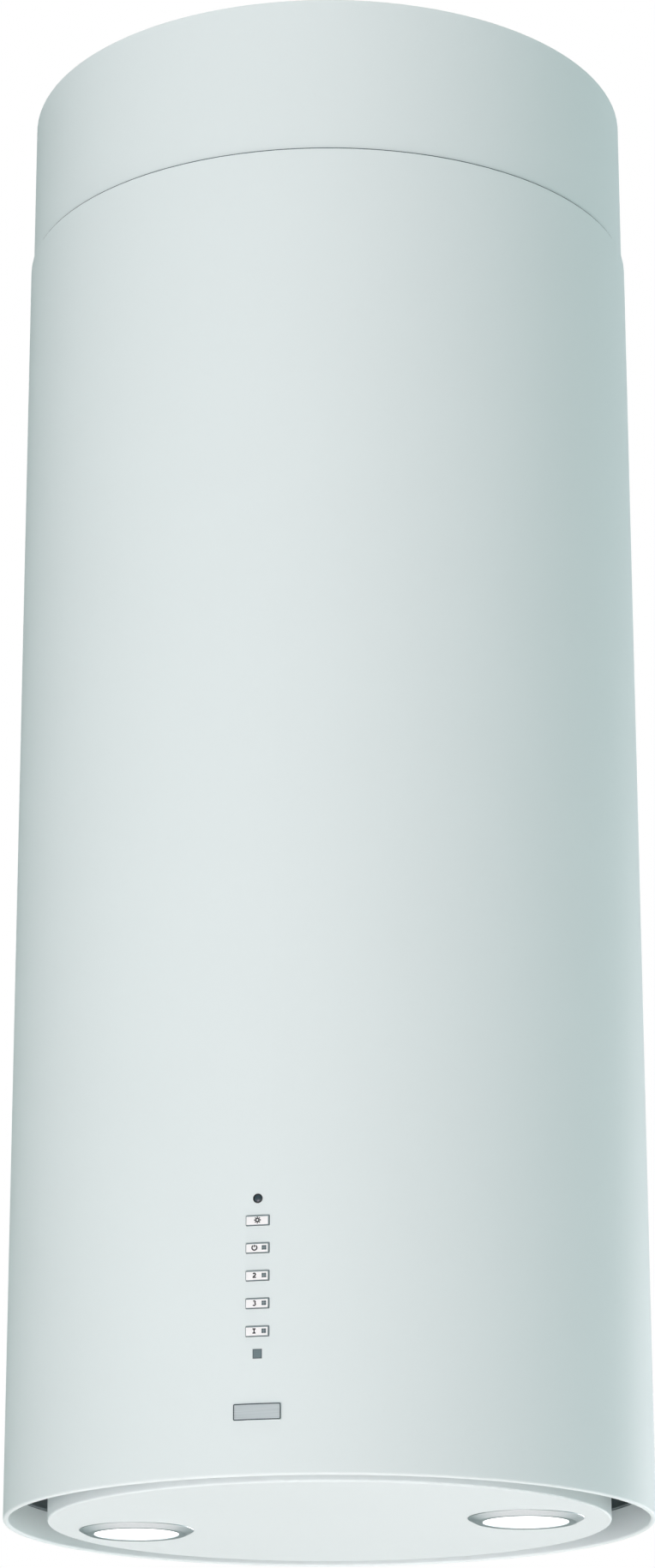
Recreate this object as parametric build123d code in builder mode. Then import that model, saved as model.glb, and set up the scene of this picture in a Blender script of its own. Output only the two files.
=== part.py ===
from build123d import *
import os
from math import cos, radians, sin

# Island range hood: a telescopic white steel cylinder that hangs from the ceiling.
#
# Millimetres, +Z up. The origin is the centre of the ceiling plate's top face, and the
# controls face -Y. Air enters round the hinged panel at the foot of the cylinder, passes
# the grease filter and the blower, and leaves upwards through the spigot and its damper.

# --- driving dimensions ---------------------------------------------------------------
TOTAL_HEIGHT = 870.0         # ceiling to lower rim, as installed
TUBE_R = 185.0               # outer radius of the lower tube
LOWER_TUBE_LENGTH = 772.0
UPPER_TUBE_R = 183.4         # the upper tube slides inside the lower one
UPPER_TUBE_LENGTH = 400.0
SHEET = 0.8                  # lacquered sheet steel of both tubes
TRAVEL_UP = 80.0             # height adjustment from the installed position
TRAVEL_DOWN = 240.0

HEM_WIDTH = 3.0              # folded lower edge of the lower tube
HEM_HEIGHT = 18.0
PANEL_R = 160.0              # hinged suction panel, flush with the rim
PANEL_DEPTH = 20.0
PANEL_SHEET = 1.0
HINGE_Y = 140.0              # panel hinge axis, parallel to X
HINGE_HEIGHT = 10.0          # above the rim
LAMP_X = 113.0               # lamps lie left and right on the panel's X axis

FILTER_SIZE = 222.0          # square grease filter
FILTER_DEPTH = 9.0
DECK_HEIGHT = 61.0           # top of the liner's plate, above the rim

POST_CORNER = 120.0          # outer corner of the upper posts, in X and Y
POST_LEG = 25.0
POST_SHEET = 1.5

BLOWER_HEIGHT = 230.0        # fan axis above the rim
BLOWER_Y = -46.0
BLOWER_HALF_WIDTH = 62.0
CARRIER_HEIGHT = 335.0       # underside of the blower's carrier plate, above the rim
SPIGOT_R = 74.5              # for a 150 mm duct

BUTTON_WIDTH = 12.6
BUTTON_LENGTH = 5.4
BUTTON_PITCH = 15.0
LOWEST_BUTTON = 76.7         # height above the rim
BUTTON_GAP = 0.3

# --- derived places -------------------------------------------------------------------
RIM = -TOTAL_HEIGHT
TUBE_BORE = TUBE_R - SHEET
DECK = RIM + DECK_HEIGHT
DECK_FOOT = DECK - PANEL_SHEET
CARRIER = RIM + CARRIER_HEIGHT
FAN_Z = RIM + BLOWER_HEIGHT
HINGE_Z = RIM + HINGE_HEIGHT
BOTH_SIDES = (-1, 1)
CORNERS = [(x, y) for x in BOTH_SIDES for y in BOTH_SIDES]

os.makedirs("parts", exist_ok=True)


def write(piece, name):
    """Labels a finished piece and writes its STEP file."""
    piece.part.label = name
    export_step(piece.part, f"parts/{name}.step")


def ring(outer, inner, z_low, z_high, mode=Mode.ADD):
    """Adds a plain ring about the hood's axis to the piece in hand."""
    with BuildSketch(Plane.XY.offset(z_low)) as section:
        Circle(outer)
        Circle(inner, mode=Mode.SUBTRACT)
    extrude(section.sketch, amount=z_high - z_low, mode=mode)


def block(x, y, z, mode=Mode.ADD):
    """Adds a block between two limits along each axis to the piece in hand."""
    with Locations(((x[0] + x[1]) / 2, (y[0] + y[1]) / 2, (z[0] + z[1]) / 2)):
        Box(x[1] - x[0], y[1] - y[0], z[1] - z[0], mode=mode)


def side(sign, near, far):
    """Two limits on the left or right of the middle plane, or in front of it or behind it."""
    return tuple(sorted((sign * near, sign * far)))


def rod(axis, radius, start, end, cross, mode=Mode.ADD):
    """Adds a round bar along X, Y or Z; cross is its place on the other two axes."""
    middle = (start + end) / 2
    if axis == "X":
        place, turn = (middle, cross[0], cross[1]), (0, 90, 0)
    elif axis == "Y":
        place, turn = (cross[0], middle, cross[1]), (90, 0, 0)
    else:
        place, turn = (cross[0], cross[1], middle), (0, 0, 0)
    with Locations(place):
        Cylinder(radius, end - start, rotation=turn, mode=mode)


# === fixed part: ceiling plate, upper frame, upper tube ================================
PLATE_R = 178.0
PLATE_THICKNESS = 3.0
DUCT_HOLE_R = 120.0
CEILING_BOLT_CIRCLE_R = 145.0
CEILING_HOLE_R = 4.0

with BuildPart() as ceiling_plate:
    ring(PLATE_R, DUCT_HOLE_R, -PLATE_THICKNESS, 0)
    with BuildSketch(Plane.XY):
        with PolarLocations(CEILING_BOLT_CIRCLE_R, 4):
            Circle(CEILING_HOLE_R)
    extrude(amount=-PLATE_THICKNESS, mode=Mode.SUBTRACT)
write(ceiling_plate, "ceiling_plate")


def post_section(corner):
    """Draws the four angle sections of a frame whose outer corner lies at (corner, corner)."""
    with Locations((corner - POST_LEG / 2, corner - POST_SHEET / 2)):
        Rectangle(POST_LEG, POST_SHEET)
    with Locations((corner - POST_SHEET / 2, corner - POST_LEG / 2)):
        Rectangle(POST_SHEET, POST_LEG)
    mirror(about=Plane.YZ)
    mirror(about=Plane.XZ)


UPPER_POST_LENGTH = 400.0
LOWER_POST_TOP = -105.0
CLAMP_Z = -128.0             # clamp bolts at the top of the lower posts
CLAMP_X = 107.0
CLAMP_R = 2.5
CLAMP_REST = 6.0             # slot left beyond the bolt at each end of the travel
POST_GAP = 0.3
LOWER_CORNER = POST_CORNER - POST_SHEET - POST_GAP
LOWER_POST_FACE = LOWER_CORNER - POST_SHEET
SLOT_TOP = CLAMP_Z + TRAVEL_UP + CLAMP_REST
SLOT_FOOT = CLAMP_Z - TRAVEL_DOWN - CLAMP_REST

with BuildPart() as upper_posts:
    with BuildSketch(Plane.XY.offset(-UPPER_POST_LENGTH)):
        post_section(POST_CORNER)
    extrude(amount=UPPER_POST_LENGTH - PLATE_THICKNESS)
    # one long slot in each post lets the clamp bolts follow the height adjustment
    with BuildSketch(Plane.XZ):
        with Locations(*[(x * CLAMP_X, (SLOT_TOP + SLOT_FOOT) / 2) for x in BOTH_SIDES]):
            SlotOverall(SLOT_TOP - SLOT_FOOT, 2 * (CLAMP_R + POST_GAP), rotation=90)
    extrude(amount=POST_CORNER + 1, both=True, mode=Mode.SUBTRACT)
write(upper_posts, "upper_posts")

# two angle brackets under the ceiling plate hold the upper tube's top edge, each by a screw
HANGER_ANGLES = (25, 155)
HANGER_WIDTH = 24.0
HANGER_LEG = 36.0
HANGER_SHEET = 2.0
HANGER_TOP = -PLATE_THICKNESS
HANGER_INNER_R = 150.0
HANGER_FACE_R = UPPER_TUBE_R - SHEET - 0.5
HANGER_SCREW_Z = -10.0
HANGER_SCREW_R = 2.0
HANGER_HEAD_R = 3.4
HANGER_HEAD_HEIGHT = 1.6
HANGER_SCREW_LENGTH = 9.2


def outward(angle, z):
    """A plane on the hood's axis at height z that faces outwards at that angle."""
    return Plane(origin=(0, 0, z), z_dir=(cos(radians(angle)), sin(radians(angle)), 0))


with BuildPart() as upper_tube:
    ring(UPPER_TUBE_R, UPPER_TUBE_R - SHEET, -UPPER_TUBE_LENGTH, 0)
    for angle in HANGER_ANGLES:
        with BuildSketch(outward(angle, HANGER_SCREW_Z)):
            Circle(HANGER_SCREW_R + 0.1)
        extrude(amount=TUBE_R, mode=Mode.SUBTRACT)
write(upper_tube, "upper_tube")

with BuildPart() as tube_hangers:
    for angle in HANGER_ANGLES:
        middle_z = HANGER_TOP - HANGER_LEG / 2
        with BuildSketch(outward(angle, middle_z)):
            Rectangle(HANGER_WIDTH, HANGER_LEG)
        extrude(amount=HANGER_FACE_R)
        with BuildSketch(outward(angle, middle_z - HANGER_SHEET)):
            Rectangle(HANGER_WIDTH + 1, HANGER_LEG + 1)
        extrude(amount=HANGER_FACE_R - HANGER_SHEET, mode=Mode.SUBTRACT)
        with BuildSketch(outward(angle, HANGER_SCREW_Z)):
            Circle(HANGER_SCREW_R)
        extrude(amount=TUBE_R, mode=Mode.SUBTRACT)
    # keep only the outer end of each bracket's top leg
    with BuildSketch(Plane.XY.offset(HANGER_TOP - HANGER_LEG - 1)):
        Circle(HANGER_INNER_R)
    extrude(amount=HANGER_LEG + 2, mode=Mode.SUBTRACT)
write(tube_hangers, "tube_hangers")

with BuildPart() as hanger_screws:
    for angle in HANGER_ANGLES:
        with BuildSketch(outward(angle, HANGER_SCREW_Z).offset(UPPER_TUBE_R + 0.2 - HANGER_SCREW_LENGTH)):
            Circle(HANGER_SCREW_R)
        extrude(amount=HANGER_SCREW_LENGTH)
        with BuildSketch(outward(angle, HANGER_SCREW_Z).offset(UPPER_TUBE_R)):
            Circle(HANGER_HEAD_R)
        extrude(amount=HANGER_HEAD_HEIGHT)
write(hanger_screws, "hanger_screws")

# === hood: lower frame ================================================================
CLAMP_NUT_R = 4.6
CLAMP_NUT_HEIGHT = 4.0
CLAMP_HEAD_HEIGHT = 3.0
CLAMP_INNER_END = 6.0

with BuildPart() as lower_posts:
    with BuildSketch(Plane.XY.offset(DECK)):
        post_section(LOWER_CORNER)
    extrude(amount=LOWER_POST_TOP - DECK)
    for x in BOTH_SIDES:
        rod("Y", CLAMP_R, -POST_CORNER, POST_CORNER, (x * CLAMP_X, CLAMP_Z), Mode.SUBTRACT)
write(lower_posts, "lower_posts")

with BuildPart() as clamp_bolts:
    for x, y in CORNERS:
        outer = POST_CORNER + POST_GAP
        rod("Y", CLAMP_R, *side(y, LOWER_POST_FACE - CLAMP_INNER_END, outer), (x * CLAMP_X, CLAMP_Z))
        nut = (LOWER_POST_FACE - CLAMP_NUT_HEIGHT, CLAMP_NUT_HEIGHT)
        for start, thickness in (nut, (outer, CLAMP_HEAD_HEIGHT)):
            with BuildSketch(Plane.XZ.offset(-y * start)):
                with Locations((x * CLAMP_X, CLAMP_Z)):
                    RegularPolygon(CLAMP_NUT_R, 6)
            extrude(amount=-y * thickness)
write(clamp_bolts, "clamp_bolts")

# === hood: lower tube =================================================================
SENSOR_HEIGHT = 148.7
SENSOR_R = 2.6
INDICATOR_HEIGHT = 64.6
INDICATOR_WIDTH = 5.0
INDICATOR_LENGTH = 5.1
WINDOW_CORNER_R = 0.6
WINDOW_FIT = 0.05
button_heights = [LOWEST_BUTTON + BUTTON_PITCH * n for n in range(5)]

with BuildPart() as lower_tube:
    with BuildSketch(Plane.XZ):
        with BuildLine():
            hem = HEM_WIDTH / 2
            top = RIM + LOWER_TUBE_LENGTH
            Polyline((TUBE_R, RIM + hem), (TUBE_R, top), (TUBE_BORE, top),
                     (TUBE_BORE, RIM + HEM_HEIGHT), (TUBE_R - HEM_WIDTH, RIM + HEM_HEIGHT),
                     (TUBE_R - HEM_WIDTH, RIM + hem))
            ThreePointArc((TUBE_R - HEM_WIDTH, RIM + hem), (TUBE_R - hem, RIM), (TUBE_R, RIM + hem))
        make_face()
    revolve(axis=Axis.Z)
    # windows in the front wall for the buttons, the sensor and the filter indicator
    with BuildSketch(Plane.XZ):
        with Locations(*[(0, RIM + h) for h in button_heights]):
            RectangleRounded(BUTTON_WIDTH + 2 * BUTTON_GAP, BUTTON_LENGTH + 2 * BUTTON_GAP, WINDOW_CORNER_R)
        with Locations((0, RIM + SENSOR_HEIGHT)):
            Circle(SENSOR_R + WINDOW_FIT)
        with Locations((0, RIM + INDICATOR_HEIGHT)):
            Rectangle(INDICATOR_WIDTH + 2 * WINDOW_FIT, INDICATOR_LENGTH + 2 * WINDOW_FIT)
    extrude(amount=TUBE_R + 5, mode=Mode.SUBTRACT)
write(lower_tube, "lower_tube")

# === hood: liner, filter and what holds them ===========================================
LINER_R = 183.6
LINER_FOOT = RIM + HEM_HEIGHT + 0.5
LINER_LIP_R = 180.5
FILTER_OPENING = 206.0

with BuildPart() as suction_liner:
    ring(LINER_R, LINER_R - SHEET, LINER_FOOT, DECK)
    ring(LINER_R, LINER_LIP_R, LINER_FOOT, LINER_FOOT + SHEET)
    with BuildSketch(Plane.XY.offset(DECK_FOOT)):
        Circle(LINER_R)
        Rectangle(FILTER_OPENING, FILTER_OPENING, mode=Mode.SUBTRACT)
    extrude(amount=PANEL_SHEET)
write(suction_liner, "suction_liner")

FILTER_TOP = DECK_FOOT - 1.0
FILTER_FOOT = FILTER_TOP - FILTER_DEPTH
FILTER_BAR = 12.0            # width of the frame round the mesh
FILTER_CORNER_R = 5.0
MESH_REACH = 104.8           # half the mesh pack, which runs into the frame's groove
MESH_MARGIN = 1.5            # frame above and below the mesh
MESH_FIT = 0.2
RAIL_Y = (-110.0, -100.0)    # the latch's rails, under the front bar
RAIL_DROP = 5.2
RAIL_LEDGE_DROP = 3.9
LATCH_REACH = 15.0           # half the latch's width

with BuildPart() as filter_frame:
    with BuildSketch(Plane.XY.offset(FILTER_FOOT)):
        RectangleRounded(FILTER_SIZE, FILTER_SIZE, FILTER_CORNER_R)
        opening = FILTER_SIZE - 2 * FILTER_BAR
        RectangleRounded(opening, opening, FILTER_CORNER_R - 2, mode=Mode.SUBTRACT)
    extrude(amount=FILTER_DEPTH)
    # groove that grips the edges of the mesh pack
    groove = (-MESH_REACH - MESH_FIT, MESH_REACH + MESH_FIT)
    margin = MESH_MARGIN - MESH_FIT
    block(groove, groove, (FILTER_FOOT + margin, FILTER_TOP - margin), Mode.SUBTRACT)
    # two rails guide the latch, each with a ledge under it
    for x in BOTH_SIDES:
        block(side(x, LATCH_REACH + 0.4, LATCH_REACH + 2.4), RAIL_Y,
              (FILTER_FOOT - RAIL_DROP, FILTER_FOOT + 0.5))
        block(side(x, LATCH_REACH - 1.6, LATCH_REACH + 2.4), RAIL_Y,
              (FILTER_FOOT - RAIL_DROP, FILTER_FOOT - RAIL_LEDGE_DROP))
write(filter_frame, "filter_frame")

with BuildPart() as filter_mesh:
    reach = (-MESH_REACH, MESH_REACH)
    block(reach, reach, (FILTER_FOOT + MESH_MARGIN, FILTER_TOP - MESH_MARGIN))
write(filter_mesh, "filter_mesh")

LATCH_TONGUE_Y = -117.0
LATCH_GRIP_Y = -88.0
LATCH_GRIP_WALL = 3.0
LATCH_GRIP_DROP = 9.0
LATCH_LOW = FILTER_FOOT - 3.5
LATCH_HIGH = FILTER_FOOT - 0.4

with BuildPart() as filter_latch:
    width = (-LATCH_REACH, LATCH_REACH)
    block(width, (LATCH_TONGUE_Y, LATCH_GRIP_Y), (LATCH_LOW, LATCH_HIGH))
    block(width, (LATCH_GRIP_Y - LATCH_GRIP_WALL, LATCH_GRIP_Y), (LATCH_LOW - LATCH_GRIP_DROP, LATCH_LOW))
    fillet(filter_latch.edges().filter_by(Axis.X).group_by(Axis.Z)[0], 1.2)
write(filter_latch, "filter_latch")

KEEPER_REACH = 20.0
KEEPER_SHEET = 1.5
KEEPER_LEDGE = 2.0
FRONT_KEEPER_Y = -121.0
FRONT_KEEPER_FOOT = RIM + 43.5
REAR_KEEPER_Y = 113.5
REAR_KEEPER_FOOT = RIM + 47.6

with BuildPart() as filter_keepers:
    width = (-KEEPER_REACH, KEEPER_REACH)
    # front keeper, hooked under the latch's tongue
    inner_y = FRONT_KEEPER_Y + KEEPER_SHEET
    block(width, (FRONT_KEEPER_Y, inner_y), (FRONT_KEEPER_FOOT, DECK_FOOT))
    block(width, (inner_y, inner_y + 6.3), (FRONT_KEEPER_FOOT, FRONT_KEEPER_FOOT + KEEPER_LEDGE))
    # rear keeper, a ledge under the filter's back bar
    inner_y = REAR_KEEPER_Y - KEEPER_SHEET
    block(width, (inner_y, REAR_KEEPER_Y), (REAR_KEEPER_FOOT, DECK_FOOT))
    block(width, (inner_y - 7, inner_y), (REAR_KEEPER_FOOT, REAR_KEEPER_FOOT + KEEPER_LEDGE))
write(filter_keepers, "filter_keepers")

# === hood: panel hinge and catch, fixed side ==========================================
ARM_X = 50.0
ARM_THICKNESS = 3.0
ARM_Y = (113.0, 123.0)       # the arm's upright
ARM_BOSS_R = 6.0
ARM_FOOT_DEPTH = 18.0        # the arm's foot, which is spot-welded under the liner's plate
ARM_FOOT_WIDTH = 13.5
FOOT_SHEET = 1.5
PIN_R = 2.5
PIN_CLEARANCE = 0.05
PIN_HEAD_R = 4.0
PIN_HEAD_HEIGHT = 2.0
PIN_LENGTH = 9.5

with BuildPart() as hinge_arms:
    for x in BOTH_SIDES:
        with BuildSketch(Plane.YZ.offset(x * ARM_X - ARM_THICKNESS / 2)):
            with Locations(((ARM_Y[0] + ARM_Y[1]) / 2, (HINGE_Z - ARM_BOSS_R + DECK_FOOT) / 2)):
                Rectangle(ARM_Y[1] - ARM_Y[0], DECK_FOOT - HINGE_Z + ARM_BOSS_R)
            with Locations(((ARM_Y[0] + HINGE_Y) / 2, HINGE_Z)):
                Rectangle(HINGE_Y - ARM_Y[0], 2 * ARM_BOSS_R)
            with Locations((HINGE_Y, HINGE_Z)):
                Circle(ARM_BOSS_R)
                Circle(PIN_R, mode=Mode.SUBTRACT)
        extrude(amount=ARM_THICKNESS)
        inner = ARM_X - ARM_THICKNESS / 2
        block(side(x, inner, inner + ARM_FOOT_WIDTH), (ARM_Y[0], ARM_Y[0] + ARM_FOOT_DEPTH),
              (DECK_FOOT - FOOT_SHEET, DECK_FOOT))
write(hinge_arms, "hinge_arms")

with BuildPart() as hinge_pins:
    for x in BOTH_SIDES:
        inner = ARM_X - ARM_THICKNESS / 2
        rod("X", PIN_R, *side(x, inner, inner + PIN_LENGTH), (HINGE_Y, HINGE_Z))
        rod("X", PIN_HEAD_R, *side(x, inner - PIN_HEAD_HEIGHT, inner), (HINGE_Y, HINGE_Z))
write(hinge_pins, "hinge_pins")

CATCH_X = 40.0
CATCH_Y = (-140.0, -126.0)
CATCH_REACH = 9.0            # half the width of each magnet
MAGNET_FOOT = RIM + PANEL_DEPTH + 1.0
MAGNET_TOP = MAGNET_FOOT + 5.0
STALK_SHEET = 2.0
STALK_FOOT_DEPTH = 12.0

with BuildPart() as catch_magnets:
    for x in BOTH_SIDES:
        width = (x * CATCH_X - CATCH_REACH, x * CATCH_X + CATCH_REACH)
        block(width, CATCH_Y, (MAGNET_FOOT, MAGNET_TOP))
        # sheet stalk with a foot under the liner's plate
        block(width, (CATCH_Y[1] - STALK_SHEET, CATCH_Y[1]), (MAGNET_TOP, DECK_FOOT))
        block(width, (CATCH_Y[1] - STALK_FOOT_DEPTH, CATCH_Y[1]), (DECK_FOOT - FOOT_SHEET, DECK_FOOT))
write(catch_magnets, "catch_magnets")

# === hinged panel and lamps ===========================================================
LAMP_HOLE_R = 30.0
PANEL_EDGE_R = 1.2

with BuildPart() as panel_tray:
    with BuildSketch(Plane.XY.offset(RIM)):
        Circle(PANEL_R)
    extrude(amount=PANEL_DEPTH)
    fillet(panel_tray.edges().group_by(Axis.Z)[0], PANEL_EDGE_R)
    with BuildSketch(Plane.XY.offset(RIM + PANEL_SHEET)):
        Circle(PANEL_R - PANEL_SHEET)
    extrude(amount=PANEL_DEPTH, mode=Mode.SUBTRACT)
    with BuildSketch(Plane.XY.offset(RIM)):
        with Locations((-LAMP_X, 0), (LAMP_X, 0)):
            Circle(LAMP_HOLE_R)
    extrude(amount=PANEL_SHEET, mode=Mode.SUBTRACT)
write(panel_tray, "panel_tray")

EAR_X = ARM_X + 4.5
EAR_R = 6.5
EAR_BASE_Y = (HINGE_Y - 8, HINGE_Y + 4)

with BuildPart() as hinge_ears:
    for x in BOTH_SIDES:
        with BuildSketch(Plane.YZ.offset(x * EAR_X - ARM_THICKNESS / 2)):
            with Locations((HINGE_Y, (RIM + PANEL_SHEET + HINGE_Z) / 2)):
                Rectangle(2 * EAR_R, HINGE_HEIGHT - PANEL_SHEET)
            with Locations((HINGE_Y, HINGE_Z)):
                Circle(EAR_R)
                Circle(PIN_R + PIN_CLEARANCE, mode=Mode.SUBTRACT)
        extrude(amount=ARM_THICKNESS)
        inner = EAR_X - ARM_THICKNESS / 2
        block(side(x, inner, inner + 8), EAR_BASE_Y, (RIM + PANEL_SHEET, RIM + PANEL_SHEET + FOOT_SHEET))
write(hinge_ears, "hinge_ears")

STRIKE_REACH = 10.0
STRIKE_SHEET = 1.5
STRIKE_FACE = RIM + PANEL_DEPTH + 0.7

with BuildPart() as strike_plates:
    for x in BOTH_SIDES:
        width = (x * CATCH_X - STRIKE_REACH, x * CATCH_X + STRIKE_REACH)
        block(width, CATCH_Y, (STRIKE_FACE - 1.7, STRIKE_FACE))
        block(width, (CATCH_Y[1] - STRIKE_SHEET, CATCH_Y[1]), (RIM + PANEL_SHEET, RIM + PANEL_DEPTH))
        block(width, CATCH_Y, (RIM + PANEL_SHEET, RIM + PANEL_SHEET + 1.2))
write(strike_plates, "strike_plates")


def turned(points, x):
    """Adds a body turned about the vertical axis of the lamp at x, from radius and height."""
    with BuildSketch(Plane.XZ) as section:
        with BuildLine():
            Polyline(*[(x + r, RIM + z) for r, z in points], close=True)
        make_face()
    revolve(section.sketch, axis=Axis((x, 0, 0), (0, 0, 1)))


BEZEL_R = 32.9               # flange that stands under the panel
BEZEL_FOOT_R = 28.4
BEZEL_DROP = 2.6
BEZEL_TOP = 12.0
COLLAR_R = 29.4              # part of the bezel that goes up through the panel
LENS_R = 26.0
LENS_WINDOW_R = 24.3
LENS_Z = -1.4
LENS_THICKNESS = 3.0
LENS_FIT = 0.2

for name, x in (("left", -LAMP_X), ("right", LAMP_X)):
    with BuildPart() as lamp_bezel:
        bore = LENS_R + LENS_FIT
        turned([(BEZEL_R, 0), (BEZEL_FOOT_R, -BEZEL_DROP), (BEZEL_FOOT_R - 1, -BEZEL_DROP - 0.1),
                (LENS_WINDOW_R, -BEZEL_DROP + 0.1), (LENS_WINDOW_R, LENS_Z), (bore, LENS_Z),
                (bore, BEZEL_TOP), (COLLAR_R, BEZEL_TOP), (COLLAR_R, 0)], x)
    write(lamp_bezel, f"lamp_bezel_{name}")

    with BuildPart() as lamp_lens:
        top = LENS_Z + LENS_THICKNESS
        turned([(0, LENS_Z), (LENS_R, LENS_Z), (LENS_R, top), (0, top)], x)
    write(lamp_lens, f"lamp_lens_{name}")

    with BuildPart() as lamp_housing:
        outside = [(COLLAR_R, BEZEL_TOP), (COLLAR_R, 14), (24, 34), (12, 38), (12, 43), (0, 43)]
        inside = [(0, 36), (11, 36), (22.6, 32.8), (bore, 13.5), (bore, BEZEL_TOP)]
        turned(outside + inside, x)
    write(lamp_housing, f"lamp_housing_{name}")

BULB_R = 4.6
BULB_PIN_R = 3.2

with BuildPart() as lamp_bulbs:
    for x in (-LAMP_X, LAMP_X):
        turned([(0, 12), (3, 12.8), (BULB_R, 15), (BULB_R, 26), (BULB_PIN_R, 29), (BULB_PIN_R, 36),
                (0, 36)], x)
write(lamp_bulbs, "lamp_bulbs")

# === blower ===========================================================================
FAN_R = 64.0
FAN_HALF_WIDTH = 50.0
FAN_DISC = 3.0               # thickness of the impeller's end rings and middle disc
FAN_RING_BORE_R = 52.0
HUB_R = 11.0
HUB_HALF_WIDTH = 10.0
BLADES = 24
BLADE_R = 58.0
BLADE_CHORD = 10.0
BLADE_SHEET = 1.2
BLADE_PITCH = 35
SHAFT_R = 4.0
INLET_R = 55.0
SCROLL_STEP = 10.0           # each quarter turn of the scroll is this much wider
SCROLL_R = 72.0
SHELL = 1.2
OUTLET_HALF = 51.0
FLANGE_SHEET = 1.5
FLANGE_WIDTH = 9.0
DECK_SCREW_R = 2.0
DECK_SCREWS = [(x * 66, y * 45) for x, y in CORNERS]


def scroll_outline(inset=0.0):
    """Draws the scroll seen along +X: three quarter arcs that widen towards the outlet."""
    half = SCROLL_STEP / 2
    radii = [SCROLL_R + SCROLL_STEP * n - inset for n in range(3)]
    centres = [(BLOWER_Y - half, FAN_Z - half), (BLOWER_Y + half, FAN_Z - half),
               (BLOWER_Y + half, FAN_Z + half)]
    with BuildLine() as outline:
        for (y, z), radius, start in zip(centres, radii, (90, 180, 270)):
            CenterArc((y, z), radius, start, 90)
        tongue = (centres[0][0], centres[0][1] + radii[0])
        outlet_side = (centres[2][0] + radii[2], centres[2][1])
        neck = [outlet_side, (outlet_side[0], CARRIER), (tongue[0] + inset, CARRIER),
                (tongue[0] + inset, tongue[1])]
        Polyline(*neck, *([tongue] if inset else []))
    make_face(outline.edges())


for name, sign in (("left", -1), ("right", 1)):
    with BuildPart() as blower_shell:
        outer_face = sign * BLOWER_HALF_WIDTH
        inner_face = sign * (BLOWER_HALF_WIDTH - SHELL)
        with BuildSketch(Plane.YZ.offset(outer_face)):
            scroll_outline()
        extrude(amount=-outer_face)
        # flange under the carrier plate
        block(side(sign, 0, BLOWER_HALF_WIDTH + FLANGE_WIDTH), (-OUTLET_HALF - 8, OUTLET_HALF + 8),
              (CARRIER - FLANGE_SHEET, CARRIER))
        with BuildSketch(Plane.YZ.offset(inner_face)):
            scroll_outline(SHELL)
        extrude(amount=-inner_face, mode=Mode.SUBTRACT)
        with BuildSketch(Plane.YZ.offset(outer_face)):
            with Locations((BLOWER_Y, FAN_Z)):
                Circle(INLET_R)
        extrude(amount=-sign * (SHELL + 1), mode=Mode.SUBTRACT)
        for place in DECK_SCREWS:
            rod("Z", DECK_SCREW_R, CARRIER - 3, CARRIER + 1, place, Mode.SUBTRACT)
    write(blower_shell, f"blower_shell_{name}")

with BuildPart() as impeller:
    end_rings = [(-FAN_HALF_WIDTH, FAN_RING_BORE_R), (FAN_HALF_WIDTH - FAN_DISC, FAN_RING_BORE_R)]
    for start, bore in end_rings + [(-FAN_DISC / 2, SHAFT_R)]:
        with BuildSketch(Plane.YZ.offset(start)):
            with Locations((BLOWER_Y, FAN_Z)):
                Circle(FAN_R)
                Circle(bore, mode=Mode.SUBTRACT)
        extrude(amount=FAN_DISC)
    with BuildSketch(Plane.YZ.offset(-HUB_HALF_WIDTH)):
        with Locations((BLOWER_Y, FAN_Z)):
            Circle(HUB_R)
            Circle(SHAFT_R, mode=Mode.SUBTRACT)
    extrude(amount=2 * HUB_HALF_WIDTH)
    with BuildSketch(Plane.YZ.offset(-FAN_HALF_WIDTH)):
        with Locations((BLOWER_Y, FAN_Z)):
            with PolarLocations(BLADE_R, BLADES):
                Rectangle(BLADE_CHORD, BLADE_SHEET, rotation=BLADE_PITCH)
    extrude(amount=2 * FAN_HALF_WIDTH)
write(impeller, "impeller")

SHAFT_X = (-14.0, 92.0)
with BuildPart() as motor_shaft:
    rod("X", SHAFT_R, *SHAFT_X, (BLOWER_Y, FAN_Z))
write(motor_shaft, "motor_shaft")

MOTOR_R = 42.0
MOTOR_X = (56.0, 98.0)
MOTOR_NOSE_R = 14.0
MOTOR_NOSE_X = 24.0
MOTOR_EDGE_R = 4.0

with BuildPart() as blower_motor:
    rod("X", MOTOR_R, *MOTOR_X, (BLOWER_Y, FAN_Z))
    fillet(blower_motor.edges(), MOTOR_EDGE_R)
    rod("X", MOTOR_NOSE_R, MOTOR_NOSE_X, MOTOR_X[0], (BLOWER_Y, FAN_Z))
    rod("X", SHAFT_R + PIN_CLEARANCE, MOTOR_NOSE_X - 4, SHAFT_X[1] + 1, (BLOWER_Y, FAN_Z), Mode.SUBTRACT)
write(blower_motor, "blower_motor")

MOTOR_BRACKET_R = 48.0
BRACKET_LUG_R = 58.0
BRACKET_SHEET = 2.0

with BuildPart() as motor_bracket:
    with BuildSketch(Plane.YZ.offset(BLOWER_HALF_WIDTH)):
        with Locations((BLOWER_Y, FAN_Z)):
            Circle(MOTOR_BRACKET_R)
            with PolarLocations(BRACKET_LUG_R, 3, start_angle=30):
                Rectangle(24, 14)
            Circle(MOTOR_R, mode=Mode.SUBTRACT)
    extrude(amount=BRACKET_SHEET)
write(motor_bracket, "motor_bracket")

# === carrier plate, spigot and damper =================================================
CARRIER_HALF = LOWER_POST_FACE - 0.3
CARRIER_SHEET = 2.0
CARRIER_OPENING = (118.0, 98.0)
SPIGOT_FOOT = CARRIER + CARRIER_SHEET
SPIGOT_BORE_R = 72.5
SPIGOT_LENGTH = 60.0
SPIGOT_FLANGE_R = 92.0
SPIGOT_FLANGE = 3.0
FLAP_SEAT_R = 70.0
FLAP_SEAT_HEIGHT = 15.0
FLAP_SEAT = 2.0

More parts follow.
